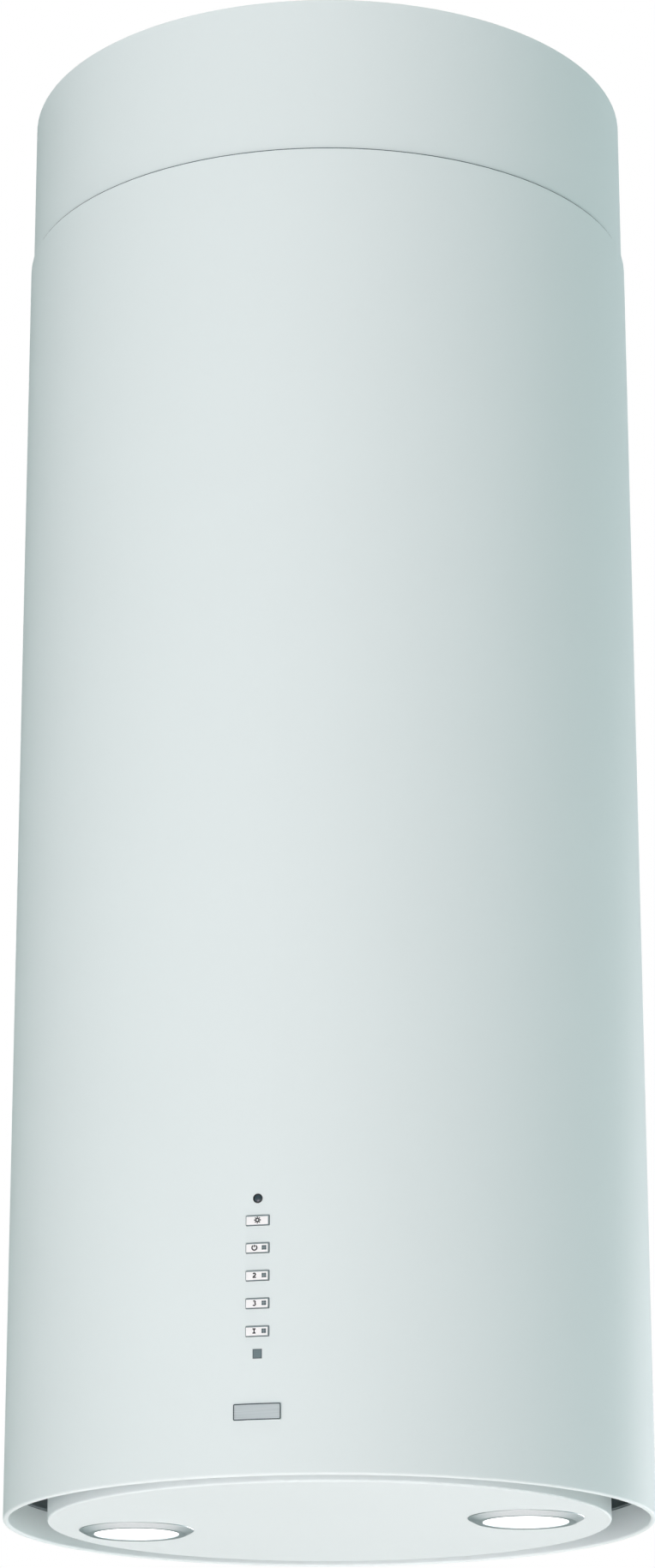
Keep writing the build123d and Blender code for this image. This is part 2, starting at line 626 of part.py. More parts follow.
with BuildPart() as blower_carrier:
    with BuildSketch(Plane.XY.offset(CARRIER)):
        Rectangle(2 * CARRIER_HALF, 2 * CARRIER_HALF)
        Rectangle(*CARRIER_OPENING, mode=Mode.SUBTRACT)
        with Locations(*DECK_SCREWS):
            Circle(DECK_SCREW_R, mode=Mode.SUBTRACT)
    extrude(amount=CARRIER_SHEET)
write(blower_carrier, "blower_carrier")

with BuildPart() as outlet_spigot:
    ring(SPIGOT_R, SPIGOT_BORE_R, SPIGOT_FOOT, SPIGOT_FOOT + SPIGOT_LENGTH)
    ring(SPIGOT_FLANGE_R, SPIGOT_BORE_R, SPIGOT_FOOT, SPIGOT_FOOT + SPIGOT_FLANGE)
    seat = SPIGOT_FOOT + FLAP_SEAT_HEIGHT
    ring(SPIGOT_R, FLAP_SEAT_R, seat, seat + FLAP_SEAT)
    with BuildSketch(Plane.XY.offset(SPIGOT_FOOT)):
        with Locations(*DECK_SCREWS):
            Circle(DECK_SCREW_R)
    extrude(amount=SPIGOT_FLANGE, mode=Mode.SUBTRACT)
write(outlet_spigot, "outlet_spigot")

DECK_SCREW_END = CARRIER - 5.0
DECK_HEAD_R = 3.8
DECK_HEAD_HEIGHT = 2.4

with BuildPart() as deck_screws:
    for place in DECK_SCREWS:
        head = SPIGOT_FOOT + SPIGOT_FLANGE
        rod("Z", DECK_SCREW_R, DECK_SCREW_END, head, place)
        rod("Z", DECK_HEAD_R, head, head + DECK_HEAD_HEIGHT, place)
write(deck_screws, "deck_screws")

FLAP_R = 71.8
FLAP_Z = SPIGOT_FOOT + FLAP_SEAT_HEIGHT + FLAP_SEAT + 0.3
FLAP_THICKNESS = 1.2
FLAP_EDGE = 2.8              # the flap's straight edge, from the pin's axis
DAMPER_PIN_R = 1.5
DAMPER_Z = FLAP_Z + 3.7
KNUCKLE_R = 3.3
KNUCKLE_PITCH = 30.0
KNUCKLE_GAP = 0.4

with BuildPart() as damper_pin:
    rod("X", DAMPER_PIN_R, -SPIGOT_BORE_R + 0.1, SPIGOT_BORE_R - 0.1, (0, DAMPER_Z))
write(damper_pin, "damper_pin")

for name, sign, first in (("front", -1, -2), ("rear", 1, -1)):
    with BuildPart() as damper_flap:
        with BuildSketch(Plane.XY.offset(FLAP_Z)):
            Circle(FLAP_R)
            low, high = sorted((sign * FLAP_EDGE, -sign * FLAP_R))
            with Locations((0, (low + high) / 2)):
                Rectangle(2 * FLAP_R, high - low, mode=Mode.SUBTRACT)
        extrude(amount=FLAP_THICKNESS)
        # knuckles, interleaved with the other flap's
        for place in (first, first + 2):
            start = place * KNUCKLE_PITCH + KNUCKLE_GAP
            end = (place + 1) * KNUCKLE_PITCH - KNUCKLE_GAP
            rod("X", KNUCKLE_R, start, end, (0, DAMPER_Z))
            block((start, end), side(sign, 0, KNUCKLE_R), (FLAP_Z, DAMPER_Z))
        rod("X", DAMPER_PIN_R + PIN_CLEARANCE, -SPIGOT_R, SPIGOT_R, (0, DAMPER_Z), Mode.SUBTRACT)
    write(damper_flap, f"damper_flap_{name}")

# radial brackets tie the lower tube to the carrier plate
BRACKET_HALF_WIDTH = 10.0
BRACKET_INNER = 98.0
BRACKET_OUTER = TUBE_BORE - 0.5
BRACKET_DROP = 20.0

with BuildPart() as tube_brackets:
    top_leg = (BRACKET_INNER, 0)
    side_leg = (BRACKET_OUTER - BRACKET_SHEET, -BRACKET_DROP)
    across = (-BRACKET_HALF_WIDTH, BRACKET_HALF_WIDTH)
    for sign in BOTH_SIDES:
        for start, low in (top_leg, side_leg):
            height = (SPIGOT_FOOT + low, SPIGOT_FOOT + BRACKET_SHEET)
            block(side(sign, start, BRACKET_OUTER), across, height)
            block(across, side(sign, start, BRACKET_OUTER), height)
write(tube_brackets, "tube_brackets")


# === controls =========================================================================
def front_arc(width, length, height, inner, outer):
    """Adds a rectangle, seen from the front, cut from a ring between two radii."""
    with BuildSketch(Plane.XZ) as section:
        with Locations((0, RIM + height)):
            Rectangle(width, length)
    extrude(section.sketch, amount=outer + 1)
    ring(outer, inner, RIM + height - length / 2, RIM + height + length / 2, Mode.INTERSECT)


BUTTON_FACE_R = TUBE_R + 0.5
BUTTON_CORNER_R = 0.5
BUTTON_FLANGE = 1.2          # flange behind the wall, which keeps the button in
BUTTON_FLANGE_R = TUBE_BORE - 0.7
BUTTON_FLANGE_EDGE = 1.0
STEM_HALF_WIDTH = 2.5
STEM_HALF_HEIGHT = 1.5
STEM_END_R = 175.4
LED_SIZE = 2.4
LED_X = 3.65
LED_DEPTH = 0.6              # how far the window goes in behind the tube's face

for n, name in enumerate(("intensive", "speed_three", "speed_two", "power", "light")):
    z = RIM + button_heights[n]
    half = BUTTON_LENGTH / 2
    led_x = (LED_X - LED_SIZE / 2, LED_X + LED_SIZE / 2)
    led_z = (z - LED_SIZE / 2, z + LED_SIZE / 2)
    has_led = name != "light"
    with BuildPart() as push_button:
        with BuildSketch(Plane.XZ):
            with Locations((0, z)):
                RectangleRounded(BUTTON_WIDTH, BUTTON_LENGTH, BUTTON_CORNER_R)
        extrude(amount=TUBE_R + 1)
        ring(BUTTON_FACE_R, BUTTON_FLANGE_R - 1, z - half, z + half, Mode.INTERSECT)
        # retaining flange, and the stem that reaches the switch
        reach = BUTTON_WIDTH / 2 + BUTTON_FLANGE_EDGE
        flange_back = -BUTTON_FLANGE_R + BUTTON_FLANGE
        block((-reach, reach), (-BUTTON_FLANGE_R, flange_back),
              (z - half - BUTTON_FLANGE_EDGE, z + half + BUTTON_FLANGE_EDGE))
        block((-STEM_HALF_WIDTH, STEM_HALF_WIDTH), (flange_back, -STEM_END_R),
              (z - STEM_HALF_HEIGHT, z + STEM_HALF_HEIGHT))
        if has_led:
            block(led_x, (-TUBE_R - 1, -TUBE_R + LED_DEPTH), led_z, Mode.SUBTRACT)
    write(push_button, f"button_{name}")
    if has_led:
        with BuildPart() as led_window:
            block(led_x, (-BUTTON_FACE_R + 0.05, -TUBE_R + LED_DEPTH), led_z)
        write(led_window, f"led_window_{name}")

HOUSING_FOOT = DECK + 0.3
HOUSING_TOP = RIM + 158.0
HOUSING_REACH = 22.0         # half the housing's width
HOUSING_WALL = 1.6
HOUSING_Y = (-181.0, -150.0)
HOUSING_EAR_REACH = 28.0
HOUSING_EAR_Y = (-184.5, -176.0)
HOUSING_EAR_HEIGHT = 8.0

with BuildPart() as control_housing:
    inside = HOUSING_REACH - HOUSING_WALL
    block((-HOUSING_REACH, HOUSING_REACH), HOUSING_Y, (HOUSING_FOOT, HOUSING_TOP))
    block((-inside, inside), (HOUSING_Y[0] - 1, HOUSING_Y[1] - HOUSING_WALL),
          (HOUSING_FOOT + HOUSING_WALL, HOUSING_TOP - HOUSING_WALL), Mode.SUBTRACT)
    # four ears at the sides carry the housing on the tube's inner wall
    for x in BOTH_SIDES:
        for z in (HOUSING_FOOT + 4, HOUSING_TOP - 12):
            block(side(x, inside, HOUSING_EAR_REACH), HOUSING_EAR_Y, (z, z + HOUSING_EAR_HEIGHT))
    with BuildSketch(Plane.XY.offset(HOUSING_FOOT - 10)):
        Circle(TUBE_BORE)
    extrude(amount=HOUSING_TOP - HOUSING_FOOT + 20, mode=Mode.INTERSECT)
write(control_housing, "control_housing")

BOARD_Y = (-167.6, -166.0)
BOARD_REACH = 20.0
RELAY_REACH = 14.0
RELAY_DEPTH = 9.0
RELAY_Z = (RIM + 90, RIM + 112)

with BuildPart() as circuit_board:
    block((-BOARD_REACH, BOARD_REACH), BOARD_Y, (HOUSING_FOOT + 2, HOUSING_TOP - 2))
    block((-RELAY_REACH, RELAY_REACH), (BOARD_Y[1], BOARD_Y[1] + RELAY_DEPTH), RELAY_Z)
write(circuit_board, "circuit_board")

SWITCH_REACH = 3.0
SWITCH_FACE_Y = -171.6
PLUNGER_R = 1.7
PLUNGER_Y = -174.0

with BuildPart() as push_switches:
    for height in button_heights:
        z = RIM + height
        block((-SWITCH_REACH, SWITCH_REACH), (SWITCH_FACE_Y, BOARD_Y[0]),
              (z - SWITCH_REACH, z + SWITCH_REACH))
        rod("Y", PLUNGER_R, PLUNGER_Y, SWITCH_FACE_Y, (0, z))
write(push_switches, "push_switches")

SENSOR_LENS_R = 2.1
SENSOR_Z = RIM + SENSOR_HEIGHT

with BuildPart() as sensor_ring:
    rod("Y", SENSOR_R, -TUBE_R - 0.3, -TUBE_R + 5, (0, SENSOR_Z))
    rod("Y", SENSOR_LENS_R, -TUBE_R - 1, -TUBE_R + 6, (0, SENSOR_Z), Mode.SUBTRACT)
write(sensor_ring, "sensor_ring")

with BuildPart() as sensor_lens:
    rod("Y", SENSOR_LENS_R, -TUBE_R - 0.1, BOARD_Y[0], (0, SENSOR_Z))
write(sensor_lens, "sensor_lens")

INDICATOR_INNER_R = 181.2
LIGHT_GUIDE_HALF = 1.5

with BuildPart() as filter_indicator:
    z = RIM + INDICATOR_HEIGHT
    front_arc(INDICATOR_WIDTH, INDICATOR_LENGTH, INDICATOR_HEIGHT, INDICATOR_INNER_R, TUBE_R + 0.1)
    block((-LIGHT_GUIDE_HALF, LIGHT_GUIDE_HALF), (-INDICATOR_INNER_R - 0.8, BOARD_Y[0]),
          (z - LIGHT_GUIDE_HALF, z + LIGHT_GUIDE_HALF))
write(filter_indicator, "filter_indicator")

PLATE_WIDTH = 25.9
PLATE_LENGTH = 8.8
PLATE_HEIGHT = 33.7
PLATE_SHEET = 0.6

with BuildPart() as name_plate:
    front_arc(PLATE_WIDTH, PLATE_LENGTH, PLATE_HEIGHT, TUBE_R, TUBE_R + PLATE_SHEET)
write(name_plate, "name_plate")

# === electrics ========================================================================
BOX_Z = (RIM + 160, RIM + 290)
BOX_REACH = 55.0
BOX_Y = (100.0, 148.0)
BOX_WALL = 2.0
BOX_EAR_REACH = 104.0
BOX_EAR_Z = (RIM + 210, RIM + 240)
GLAND_PLACE = (30, 125)
GLAND_R = 8.0

with BuildPart() as electronics_box:
    inside = BOX_REACH - BOX_WALL
    block((-BOX_REACH, BOX_REACH), BOX_Y, BOX_Z)
    block((-inside, inside), (BOX_Y[0] + BOX_WALL, BOX_Y[1] + 1),
          (BOX_Z[0] + BOX_WALL, BOX_Z[1] - BOX_WALL), Mode.SUBTRACT)
    # ears that lie against the rear posts
    for x in BOTH_SIDES:
        block(side(x, BOX_REACH, BOX_EAR_REACH), (LOWER_POST_FACE - BOX_WALL, LOWER_POST_FACE), BOX_EAR_Z)
    rod("Z", GLAND_R, BOX_Z[1] - BOX_WALL, BOX_Z[1], GLAND_PLACE, Mode.SUBTRACT)
write(electronics_box, "electronics_box")

with BuildPart() as electronics_lid:
    block((-BOX_REACH, BOX_REACH), (BOX_Y[1], BOX_Y[1] + 1.5), BOX_Z)
write(electronics_lid, "electronics_lid")

CORE_X = (-45.0, -5.0)
WINDING_X = (-38.0, -12.0)
FLOOR_Y = BOX_Y[0] + BOX_WALL

with BuildPart() as transformer:
    block(CORE_X, (FLOOR_Y, FLOOR_Y + 35), (BOX_Z[0] + 10, BOX_Z[0] + 60))
    block(WINDING_X, (FLOOR_Y, FLOOR_Y + 40), (BOX_Z[0] + 20, BOX_Z[0] + 50))
write(transformer, "transformer")

CAPACITOR_R = 14.0
CAPACITOR_PLACE = (28, 118)

with BuildPart() as capacitor:
    rod("Z", CAPACITOR_R, BOX_Z[0] + 10, BOX_Z[0] + 70, CAPACITOR_PLACE)
    fillet(capacitor.edges(), 1.5)
write(capacitor, "capacitor")

GLAND_NUT_R = 12.0
GLAND_NUT_HEIGHT = 5.0
GLAND_DOME_R = 9.0
GLAND_DOME_HEIGHT = 9.0
GLAND_BORE_R = 4.0

with BuildPart() as cable_gland:
    with BuildSketch(Plane.XY.offset(BOX_Z[1])):
        with Locations(GLAND_PLACE):
            RegularPolygon(GLAND_NUT_R, 6)
    extrude(amount=GLAND_NUT_HEIGHT)
    dome = BOX_Z[1] + GLAND_NUT_HEIGHT
    rod("Z", GLAND_DOME_R, dome, dome + GLAND_DOME_HEIGHT, GLAND_PLACE)
    rod("Z", GLAND_R, BOX_Z[1] - 8, BOX_Z[1], GLAND_PLACE)
    rod("Z", GLAND_BORE_R, BOX_Z[1] - 9, dome + GLAND_DOME_HEIGHT + 1, GLAND_PLACE, Mode.SUBTRACT)
write(cable_gland, "cable_gland")
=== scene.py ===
"""The island hood's looks: finishes for every piece, the key legends, and the studio it hangs in."""
import math
import bmesh
import bpy
from mathutils import Matrix, Vector


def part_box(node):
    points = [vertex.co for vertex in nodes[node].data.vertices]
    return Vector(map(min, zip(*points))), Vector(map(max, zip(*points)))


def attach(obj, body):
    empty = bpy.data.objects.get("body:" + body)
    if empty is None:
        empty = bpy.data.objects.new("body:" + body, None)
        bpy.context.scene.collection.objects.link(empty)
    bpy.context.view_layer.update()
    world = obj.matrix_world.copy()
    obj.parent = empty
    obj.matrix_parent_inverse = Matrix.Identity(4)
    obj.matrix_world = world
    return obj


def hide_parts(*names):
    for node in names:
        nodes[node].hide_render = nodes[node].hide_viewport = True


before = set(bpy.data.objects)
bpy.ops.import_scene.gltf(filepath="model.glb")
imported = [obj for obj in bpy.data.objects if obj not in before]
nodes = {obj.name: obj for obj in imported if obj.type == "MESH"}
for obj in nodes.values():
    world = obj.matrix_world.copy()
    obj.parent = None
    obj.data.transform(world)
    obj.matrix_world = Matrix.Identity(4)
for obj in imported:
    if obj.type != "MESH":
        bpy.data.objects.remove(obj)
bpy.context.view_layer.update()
MM = 0.001

# === The two telescopic tubes =============================================================
# Rolled and seam-welded sheet steel, 0.8 mm thick, sprayed with a white lacquer that has a
# cool grey-green cast. The lacquer lies a little wavy, as orange peel, and shines softly.


def linear(hex_colour):
    """An sRGB hex colour as the linear RGBA that the shaders take."""
    parts = [int(hex_colour[i:i + 2], 16) / 255 for i in (1, 3, 5)]
    return tuple(c / 12.92 if c <= 0.04045 else ((c + 0.055) / 1.055) ** 2.4 for c in parts) + (1.0,)


def add_node(tree, kind, inputs=None, **settings):
    """Adds one node; an input is given a value, or a socket that it is linked to."""
    new = tree.nodes.new(kind)
    for name, value in settings.items():
        setattr(new, name, value)
    for name, value in (inputs or {}).items():
        if isinstance(value, bpy.types.NodeSocket):
            tree.links.new(value, new.inputs[name])
        else:
            new.inputs[name].default_value = value
    return new


def start_material(name, **shader_values):
    """A new material: its tree, its Principled shader, and the place on the piece in millimetres."""
    material = bpy.data.materials.new(name)
    material.use_nodes = True
    tree = material.node_tree
    tree.nodes.clear()
    shader = add_node(tree, "ShaderNodeBsdfPrincipled", shader_values)
    add_node(tree, "ShaderNodeOutputMaterial", {"Surface": shader.outputs["BSDF"]})
    place = add_node(tree, "ShaderNodeTexCoord").outputs["Object"]
    in_mm = add_node(tree, "ShaderNodeVectorMath", {0: place, 3: 1 / MM}, operation="SCALE")
    return material, tree, shader, in_mm.outputs[0]


def show_pattern(tree, shader, pattern, dark, light, rough=None, relief_mm=None):
    """Lets a grey pattern turn a finish's colour and, where given, its roughness and relief."""
    colour = add_node(tree, "ShaderNodeMix", {0: pattern, 6: linear(dark), 7: linear(light)},
                      data_type="RGBA").outputs[2]
    tree.links.new(colour, shader.inputs["Base Color"])
    if rough:
        low, high = rough
        gloss = add_node(tree, "ShaderNodeMapRange", {"Value": pattern, "To Min": low, "To Max": high})
        tree.links.new(gloss.outputs["Result"], shader.inputs["Roughness"])
    if relief_mm:
        bump = add_node(tree, "ShaderNodeBump", {"Height": pattern, "Distance": relief_mm * MM})
        tree.links.new(bump.outputs["Normal"], shader.inputs["Normal"])
    return colour


def dress(material, *names):
    """Gives CAD pieces their finish."""
    for name in names:
        mesh = nodes[name].data
        mesh.materials.clear()
        mesh.materials.append(material)


WAVE_MM = 2.2                # the orange peel, from crest to crest
WAVE_DEPTH = 0.004
CLOUD_MM = 180               # the faint drift of colour and gloss along a tube
lacquer, tree, shader, mm = start_material("white_lacquer_on_steel", Roughness=0.5, IOR=1.5)
shader.inputs["Specular IOR Level"].default_value = 0.2
peel = add_node(tree, "ShaderNodeTexNoise", {"Vector": mm, "Scale": 1 / WAVE_MM, "Detail": 2.0})
cloud = add_node(tree, "ShaderNodeTexNoise", {"Vector": mm, "Scale": 1 / CLOUD_MM, "Detail": 3.0})
show_pattern(tree, shader, cloud.outputs["Fac"], "#deebeb", "#e1eeee", (0.47, 0.53))
bump = add_node(tree, "ShaderNodeBump", {"Height": peel.outputs["Fac"], "Distance": WAVE_DEPTH * MM})
tree.links.new(bump.outputs["Normal"], shader.inputs["Normal"])
dress(lacquer, "lower_tube", "upper_tube", "panel_tray")

# === Dark ring between the tubes, as painted shadow =======================================
# A dark ring pressed over the lower tube's top edge, put there to stand for the shadow in the
# gap between the tubes. Only its thin dark lip shows, as a painted shadow line between the tubes.


def finish(name, dark, light, grain_mm, rough, relief_mm, crystals=False, **shader_values):
    """A material whose grain, of one real size, turns its colour, its roughness and its relief."""
    made, tree, shader, mm = start_material(name, **shader_values)
    kind = "ShaderNodeTexVoronoi" if crystals else "ShaderNodeTexNoise"
    pattern = add_node(tree, kind, {"Vector": mm, "Scale": 1 / grain_mm})
    grain = pattern.outputs["Color" if crystals else "Fac"]
    show_pattern(tree, shader, grain, dark, light, rough, relief_mm)
    return made


SHARP_DEGREES = 30           # an edge that turns more than this stays crisp


def piece(mesh, name, material, body, slot, *stands_for):
    """Makes an object of a bmesh and hands it to the CAD body that it moves with."""
    bmesh.ops.recalc_face_normals(mesh, faces=mesh.faces)
    data = bpy.data.meshes.new(name)
    mesh.to_mesh(data)
    mesh.free()
    data.materials.append(material)
    data.polygons.foreach_set("use_smooth", [True] * len(data.polygons))
    data.set_sharp_from_angle(angle=math.radians(SHARP_DEGREES))
    made = bpy.data.objects.new(name, data)
    bpy.context.scene.collection.objects.link(made)
    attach(made, body)
    if stands_for:
        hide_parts(*stands_for)
    return made


def turned(name, profile, centre, steps, material, body, slot, *stands_for, forwards=False):
    """A body turned on a lathe: profile gives radius and height in millimetres, and forwards
    lays its axis along the hood's front instead of upwards."""
    mesh = bmesh.new()
    rings = []
    for radius, height in profile:
        ring = []
        for n in range(steps if radius else 1):
            angle = 2 * math.pi * n / steps
            across, aside = radius * math.cos(angle), radius * math.sin(angle)
            offset = (across, -height, aside) if forwards else (across, aside, height)
            ring.append(mesh.verts.new(Vector(centre) + Vector(offset) * MM))
        rings.append(ring)
    for lower, upper in zip(rings, rings[1:]):
        for n in range(steps):
            after = n + 1
            corners = [lower[n % len(lower)], lower[after % len(lower)],
                       upper[after % len(upper)], upper[n % len(upper)]]
            mesh.faces.new(list(dict.fromkeys(corners)))
    return piece(mesh, name, material, body, slot, *stands_for)


LIP_HEIGHT = 0.7
LIP_RADIUS = 184.6
LIP_CLEARANCE = 0.05         # between the lip and the lower tube's top edge
SEAM_RING_RADIUS = 183.5
SEAM_RING_WALL = 0.6
SEAM_RING_DEPTH = 9.0
SEAM_RING_STEPS = 240
# matt and a little cloudy, and dark as painted shadow, so it shows as one shadow line without a gleam
seam_shadow_ring_plastic = finish("dark_ring_painted_seam_shadow", "#3d5155", "#4a5f63", 1.5, (0.5, 0.6), 0.01)
tube_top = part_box("lower_tube")[1].z
profile = [(SEAM_RING_RADIUS, -SEAM_RING_DEPTH), (SEAM_RING_RADIUS, LIP_HEIGHT), (LIP_RADIUS, LIP_HEIGHT),
           (LIP_RADIUS, LIP_CLEARANCE), (SEAM_RING_RADIUS + SEAM_RING_WALL, LIP_CLEARANCE),
           (SEAM_RING_RADIUS + SEAM_RING_WALL, -SEAM_RING_DEPTH), (SEAM_RING_RADIUS, -SEAM_RING_DEPTH)]
turned("seam_shadow_ring", profile, (0, 0, tube_top), SEAM_RING_STEPS, seam_shadow_ring_plastic, "hood", "black_plastic")

# === Keys =================================================================================
# Five push keys: a body coloured grey as painted shade along the keys' edges, and on it a white ABS
# face with a sign printed on it. The lower four have a small square lamp window in the face.
KEYS = ("light", "power", "speed_two", "speed_three", "intensive")
# the face is set in further at the right and the top, so that more grey body shows there as painted shade
FACE_X = (-6.15, -4.0, -2.0, 0.0, 2.4, 4.9, 5.75)      # cuts across a face, from its middle
FACE_Z = (-2.4, -1.25, 1.25, 2.0)                      # cuts up a face, from its middle
WINDOW_CELL = (4, 1)         # the cell of the face that is left open for the lamp window
FACE_THICKNESS = 0.3
FACE_EDGE = 0.12             # how far the mould rounds a face's edges
FACE_EDGE_DEGREES = 40       # an edge that turns more than this is rounded
BODY_PROUD = 0.5             # how far a grey body stands out of the tube
FLAT_TOLERANCE = 0.001       # in radians: cells this level with each other become one face
SIGN_THICKNESS = 0.05
SIGN_LINE = 0.68
SIGN_X = -1.6                # a sign is printed this far from the middle, beside the window
TUBE_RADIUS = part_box("lower_tube")[1].x / MM
KEY_FACE_RADIUS = TUBE_RADIUS + BODY_PROUD + FACE_THICKNESS

# ABS from a fine mould shines a little, and the ink on it is matt; the grey of the key bodies is painted
# shade round the white faces
key_body_painted_shade = finish("grey_abs_painted_key_shade", "#7f9295", "#889b9e", 0.8, (0.4, 0.5), 0.004)
white_face = finish("white_moulded_abs", "#f4f8f8", "#f9fcfc", 0.8, (0.32, 0.42), 0.003)
sign_ink = finish("black_printing_ink", "#141b1d", "#1c2426", 0.5, (0.5, 0.65), 0.004)
dress(key_body_painted_shade, *["button_" + key for key in KEYS])


def on_tube(x, z, radius):
    """A point in metres on a cylinder about the hood's axis, at the front, from millimetres."""
    return Vector((x * MM, -math.sqrt(radius * radius - x * x) * MM, z * MM))


def arc(x, z, radius, start, end, steps=16):
    """Points along an arc, by angles in degrees."""
    turns = [math.radians(start + (end - start) * n / steps) for n in range(steps + 1)]
    return [(x + radius * math.cos(t), z + radius * math.sin(t)) for t in turns]


def lines_on_tube(name, lines, width, height, radius, thickness, material, body, slot):
    """Thin raised lines that follow the tube's curve: each is its points and whether it closes."""
    mesh = bmesh.new()
    for points, closed in lines:
        rows = []
        for n, point in enumerate(points):
            before = points[n - 1] if closed or n else point
            after = points[(n + 1) % len(points)] if closed or n < len(points) - 1 else point
            along = (Vector(after) - Vector(before)).normalized()
            across = Vector((-along.y, along.x)) * width / 2
            row = []
            for sign, depth in ((1, 0), (1, thickness), (-1, thickness), (-1, 0)):
                place = Vector(point) + sign * across
                corner = on_tube(place.x, place.y, radius + depth)
                row.append(mesh.verts.new(corner + Vector((0, 0, height))))
            rows.append(row)
        for row, after in zip(rows, rows[1:] + (rows[:1] if closed else [])):
            for k in range(4):
                mesh.faces.new((row[k], row[(k + 1) % 4], after[(k + 1) % 4], after[k]))
        if not closed:
            mesh.faces.new(rows[0])
            mesh.faces.new(rows[-1])
    return piece(mesh, name, material, body, slot)


def ray(angle, start, end):
    """A short straight line away from the middle."""
    aim = Vector((math.cos(math.radians(angle)), math.sin(math.radians(angle))))
    return ([tuple(aim * start), tuple(aim * end)], False)


# each sign's strokes, in millimetres about its middle, and whether a stroke closes on itself
SIGNS = {
    "light": [(arc(0, 0, 0.85, 0, 345, 23), True)] + [ray(45 * n, 1.25, 1.85) for n in range(8)],
    "power": [(arc(0, 0, 1.35, 122, 418, 28), False), ([(0, 0.3), (0, 1.6)], False)],
    "speed_two": [(arc(0, 0.5, 0.65, 165, -30, 14) + [(-0.62, -0.85)], False),
                  ([(-0.95, -1.1), (0.95, -1.1)], False)],
    "speed_three": [(arc(0, 0.62, 0.58, 150, -80, 14) + arc(0, -0.57, 0.68, 75, -150, 14), False)],
    "intensive": [([(-0.85, 1.1), (0.85, 1.1)], False), ([(0, 0.8), (0, -0.8)], False),
                  ([(-0.85, -1.1), (0.85, -1.1)], False)],
}
for key in KEYS:
    low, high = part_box("button_" + key)
    middle = (low.z + high.z) / 2
    mesh = bmesh.new()
    up = Vector((0, 0, middle))
    grid = [[mesh.verts.new(on_tube(x, z, KEY_FACE_RADIUS) + up) for z in FACE_Z] for x in FACE_X]
    for i in range(len(FACE_X) - 1):
        for j in range(len(FACE_Z) - 1):
            if key == "light" or (i, j) != WINDOW_CELL:
                mesh.faces.new((grid[i][j], grid[i + 1][j], grid[i + 1][j + 1], grid[i][j + 1]))
    for face in mesh.faces:
        face.normal_update()
    bmesh.ops.reverse_faces(mesh, faces=[f for f in mesh.faces if f.normal.y > 0])
    shell = bmesh.ops.extrude_face_region(mesh, geom=mesh.faces[:])
    for made in shell["geom"]:
        if isinstance(made, bmesh.types.BMVert):
            made.co.y += FACE_THICKNESS * MM
    bmesh.ops.dissolve_limit(mesh, angle_limit=FLAT_TOLERANCE, verts=mesh.verts, edges=mesh.edges)
    face = piece(mesh, "key_face_" + key, white_face, "key_" + key, "button_plastic")
    bevel = face.modifiers.new("moulded_edge", "BEVEL")
    bevel.width = FACE_EDGE * MM
    bevel.segments = 2
    bevel.limit_method = "ANGLE"
    bevel.angle_limit = math.radians(FACE_EDGE_DEGREES)
    shift = 0.0 if key == "light" else SIGN_X
    lines = [([(x + shift, z) for x, z in points], closed) for points, closed in SIGNS[key]]
    lines_on_tube("key_sign_" + key, lines, SIGN_LINE, middle, KEY_FACE_RADIUS, SIGN_THICKNESS,
                  sign_ink, "key_" + key, "black_plastic")

# === Lamp windows in the keys, and the filter lamp ========================================
# Square windows of smoked polycarbonate over small lamps on the circuit board. Each key
# window is moulded with four facets, and the larger filter lamp has a darker rim.
FACET_MM = 1.25              # twelve facets to one step between the keys
GROOVE_MM = 0.14             # between the facets, drawn wide enough to be seen
GROOVE_DEPTH = 0.05
WINDOW_X = 3.65
# smoky and dark, with the grooves where the facets meet coloured paler as painted highlights
facets, tree, shader, mm = start_material("faceted_smoked_polycarbonate", Roughness=0.3, IOR=1.58)
window_z = sum(corner.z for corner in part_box("led_window_power")) / 2 / MM
moved = add_node(tree, "ShaderNodeVectorMath", {0: mm, 1: (WINDOW_X, 0, window_z)},
                 operation="SUBTRACT")
apart = add_node(tree, "ShaderNodeSeparateXYZ", {0: moved.outputs[0]})
flat = add_node(tree, "ShaderNodeCombineXYZ", {0: apart.outputs["X"], 1: apart.outputs["Z"]})
bricks = add_node(tree, "ShaderNodeTexBrick", {
    "Vector": flat.outputs[0], "Scale": 1.0, "Mortar Size": GROOVE_MM, "Mortar Smooth": 0.3,
    "Brick Width": FACET_MM, "Row Height": FACET_MM, "Color1": linear("#4b5c60"),
    "Color2": linear("#53656a"), "Mortar": linear("#9db0b3")}, offset=0.0, squash=1.0)
tree.links.new(bricks.outputs["Color"], shader.inputs["Base Color"])
bump = add_node(tree, "ShaderNodeBump", {"Height": bricks.outputs["Fac"], "Distance": GROOVE_DEPTH * MM})
tree.links.new(bump.outputs["Normal"], shader.inputs["Normal"])
dress(facets, *["led_window_" + key for key in KEYS[1:]])

LAMP_RIM_START = 2.05        # where the filter lamp's darker rim begins, from its middle
LAMP_RIM_BLEND = 0.2
# the same smoky plastic in one flat pane, darker in a band round its edge
rimmed, tree, shader, mm = start_material("rimmed_smoked_polycarbonate", Roughness=0.35, IOR=1.58)
low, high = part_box("filter_indicator")
middle = (0, 0, (low.z + high.z) / 2 / MM)
moved = add_node(tree, "ShaderNodeVectorMath", {0: mm, 1: middle}, operation="SUBTRACT")
size = add_node(tree, "ShaderNodeVectorMath", {0: moved.outputs[0]}, operation="ABSOLUTE")
apart = add_node(tree, "ShaderNodeSeparateXYZ", {0: size.outputs[0]})
edge = add_node(tree, "ShaderNodeMath", {0: apart.outputs["X"], 1: apart.outputs["Z"]},
                operation="MAXIMUM")
rim = add_node(tree, "ShaderNodeMapRange", {
    "Value": edge.outputs[0], "From Min": LAMP_RIM_START, "From Max": LAMP_RIM_START + LAMP_RIM_BLEND})
show_pattern(tree, shader, rim.outputs["Result"], "#647a7e", "#43555a", (0.3, 0.5))
dress(rimmed, "filter_indicator")

